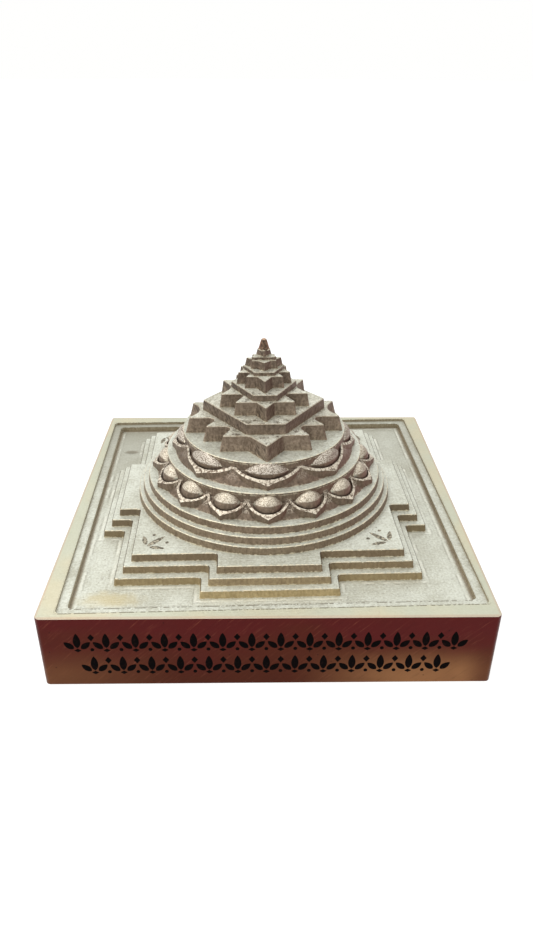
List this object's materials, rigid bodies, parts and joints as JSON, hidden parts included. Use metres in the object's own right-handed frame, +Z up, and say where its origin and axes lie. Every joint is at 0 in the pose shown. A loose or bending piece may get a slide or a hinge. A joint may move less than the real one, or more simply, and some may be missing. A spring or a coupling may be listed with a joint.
{
  "type": "meru shri yantra",
  "caption": "Square brass plinth with a stepped relief of gated square enclosures, circles, lotus petal rings and interlaced triangles rising to a small tip, to stand on an altar or shelf.",
  "frame": {"origin": "middle of the underside of the plinth, on the surface that it stands on", "axes": "+Z up through the stack of tiers, -Y towards the viewer and the front face of the plinth, +X to the viewer's right"},
  "size_m": [0.076, 0.076, 0.0479],
  "materials": {
    "plinth_brass": "polished, with a red-brown patina and fine scratches",
    "relief_brass": "milled and blasted, pale satin",
    "figure_brass": "milled, pale satin with bright edges",
    "tip_brass": "handled, brown with copper-coloured edges"
  },
  "bodies": {
    "root": {"plinth": "plinth_brass", "enclosure_outer": "relief_brass", "enclosure_middle": "relief_brass", "enclosure_inner": "relief_brass", "circle_outer": "relief_brass", "circle_middle": "relief_brass", "circle_inner": "relief_brass", "lotus_16": "relief_brass", "disc_16": "relief_brass", "lotus_8": "relief_brass", "disc_8": "relief_brass", "star_14": "figure_brass", "hexagon_1": "figure_brass", "star_10_outer": "figure_brass", "hexagon_2": "figure_brass", "star_10_inner": "figure_brass", "hexagon_3": "figure_brass", "star_8": "figure_brass", "hexagon_4": "figure_brass", "triangle": "figure_brass", "bindu": "tip_brass"}
  },
  "joints": []
}
